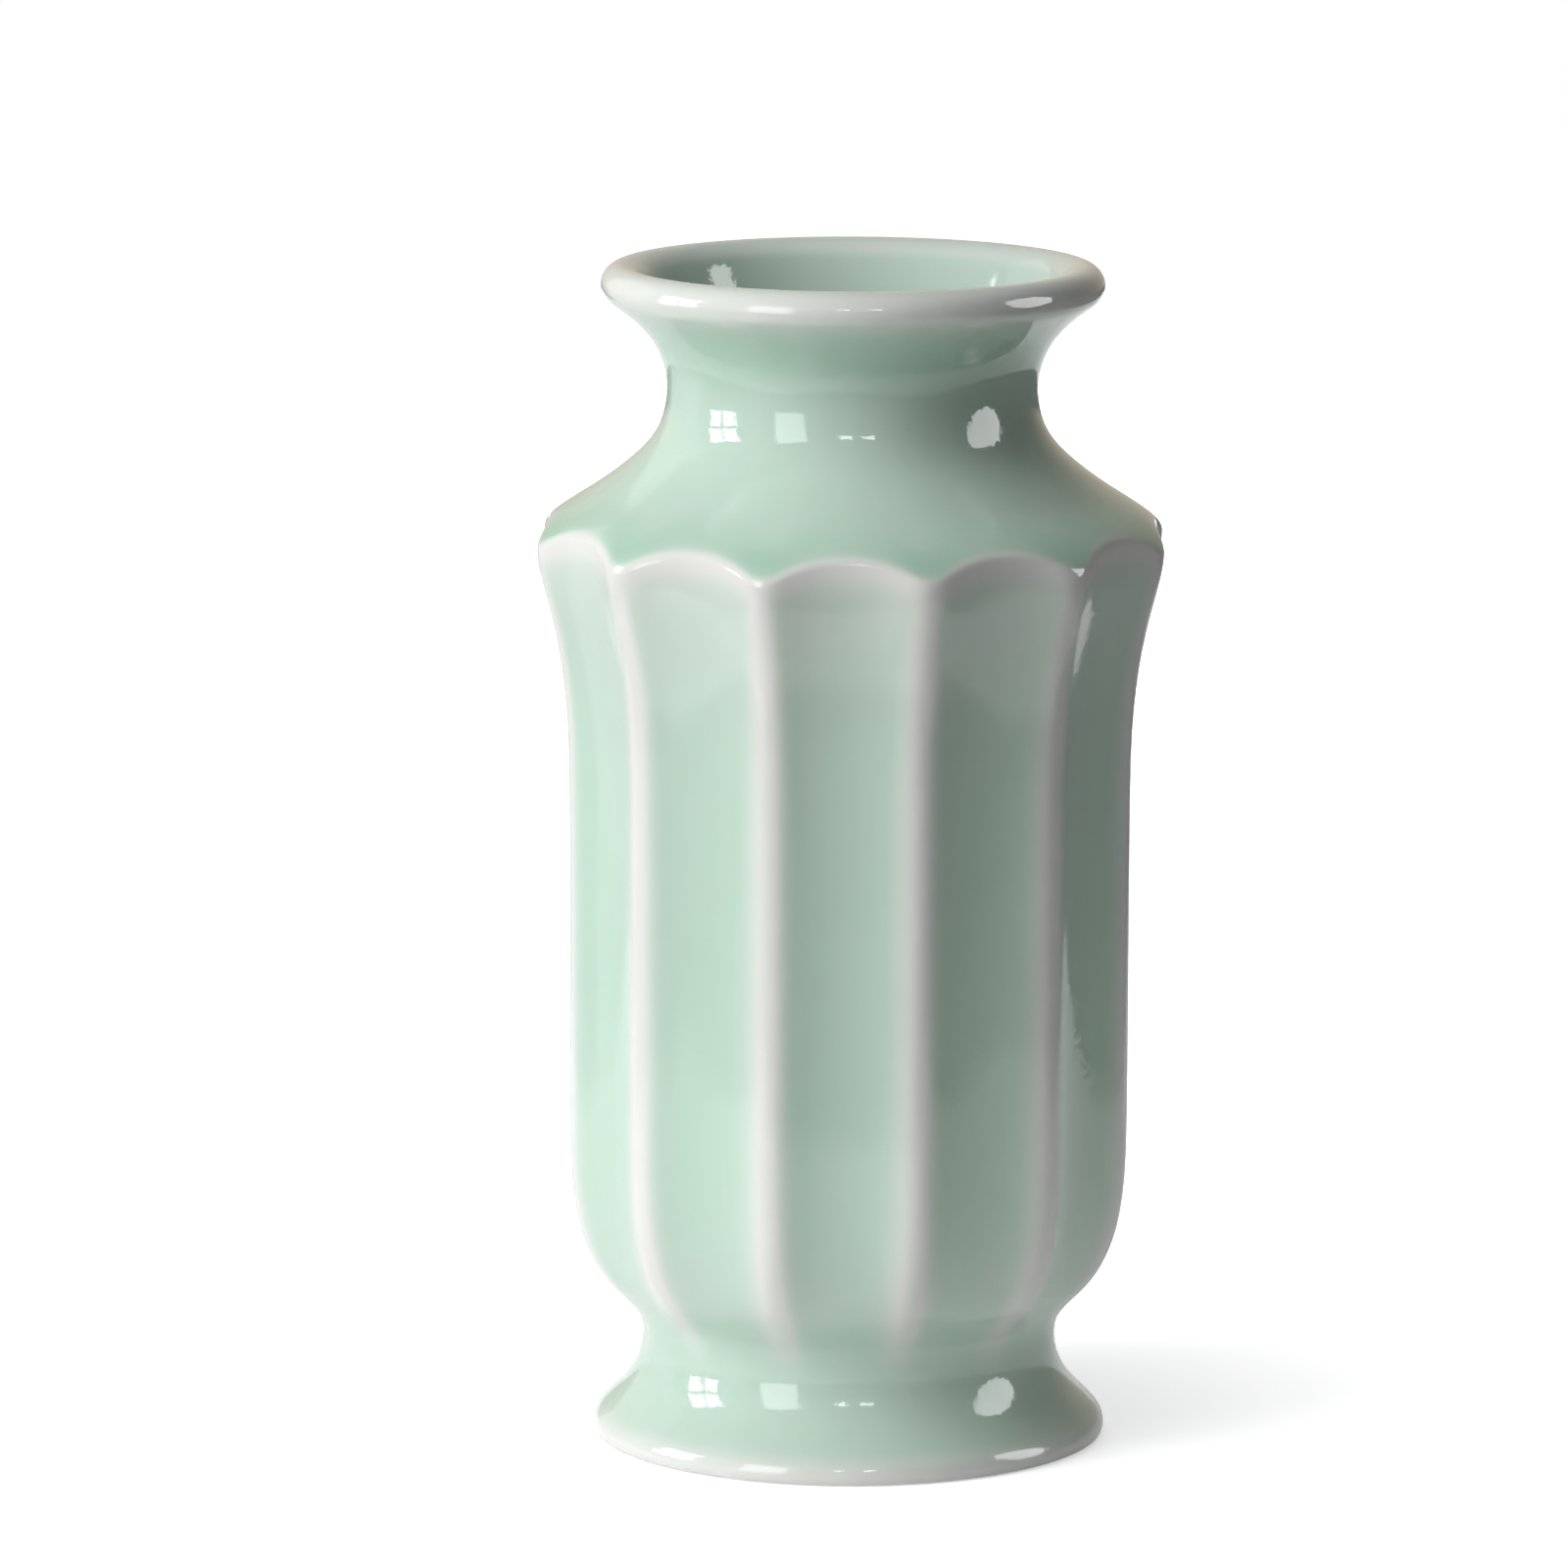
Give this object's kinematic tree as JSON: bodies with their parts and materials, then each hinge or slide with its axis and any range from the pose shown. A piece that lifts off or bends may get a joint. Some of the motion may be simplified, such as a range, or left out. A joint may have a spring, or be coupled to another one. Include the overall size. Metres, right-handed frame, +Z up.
{
  "type": "fluted baluster vase",
  "caption": "Glazed ceramic vase with a fluted body, scalloped arches under a turned shoulder, a wide neck with a rolled lip and a spreading foot.",
  "frame": {"origin": "centre of the standing ring, on the floor", "axes": "+Z up along the turning axis; the middle of one flute faces -Y, towards the viewer; +X to the viewer's right"},
  "size_m": [0.1104, 0.1104, 0.21],
  "materials": {
    "clay": "fired pale stoneware, bare and matt on the standing ring",
    "slip": "fired joining slip, under the glaze",
    "outer_glaze": "glossy pale green glaze, white where it runs thin on the ridges, lip and foot edge",
    "inner_glaze": "glossy pale green glaze",
    "base_glaze": "glossy pale green glaze in the recess"
  },
  "bodies": {
    "root": {"mouth_and_neck": "clay", "neck_lute": "slip", "fluted_body": "clay", "foot_lute": "slip", "flared_foot": "clay", "outer_glaze": "outer_glaze", "inner_glaze": "inner_glaze", "base_glaze": "base_glaze"}
  },
  "joints": []
}
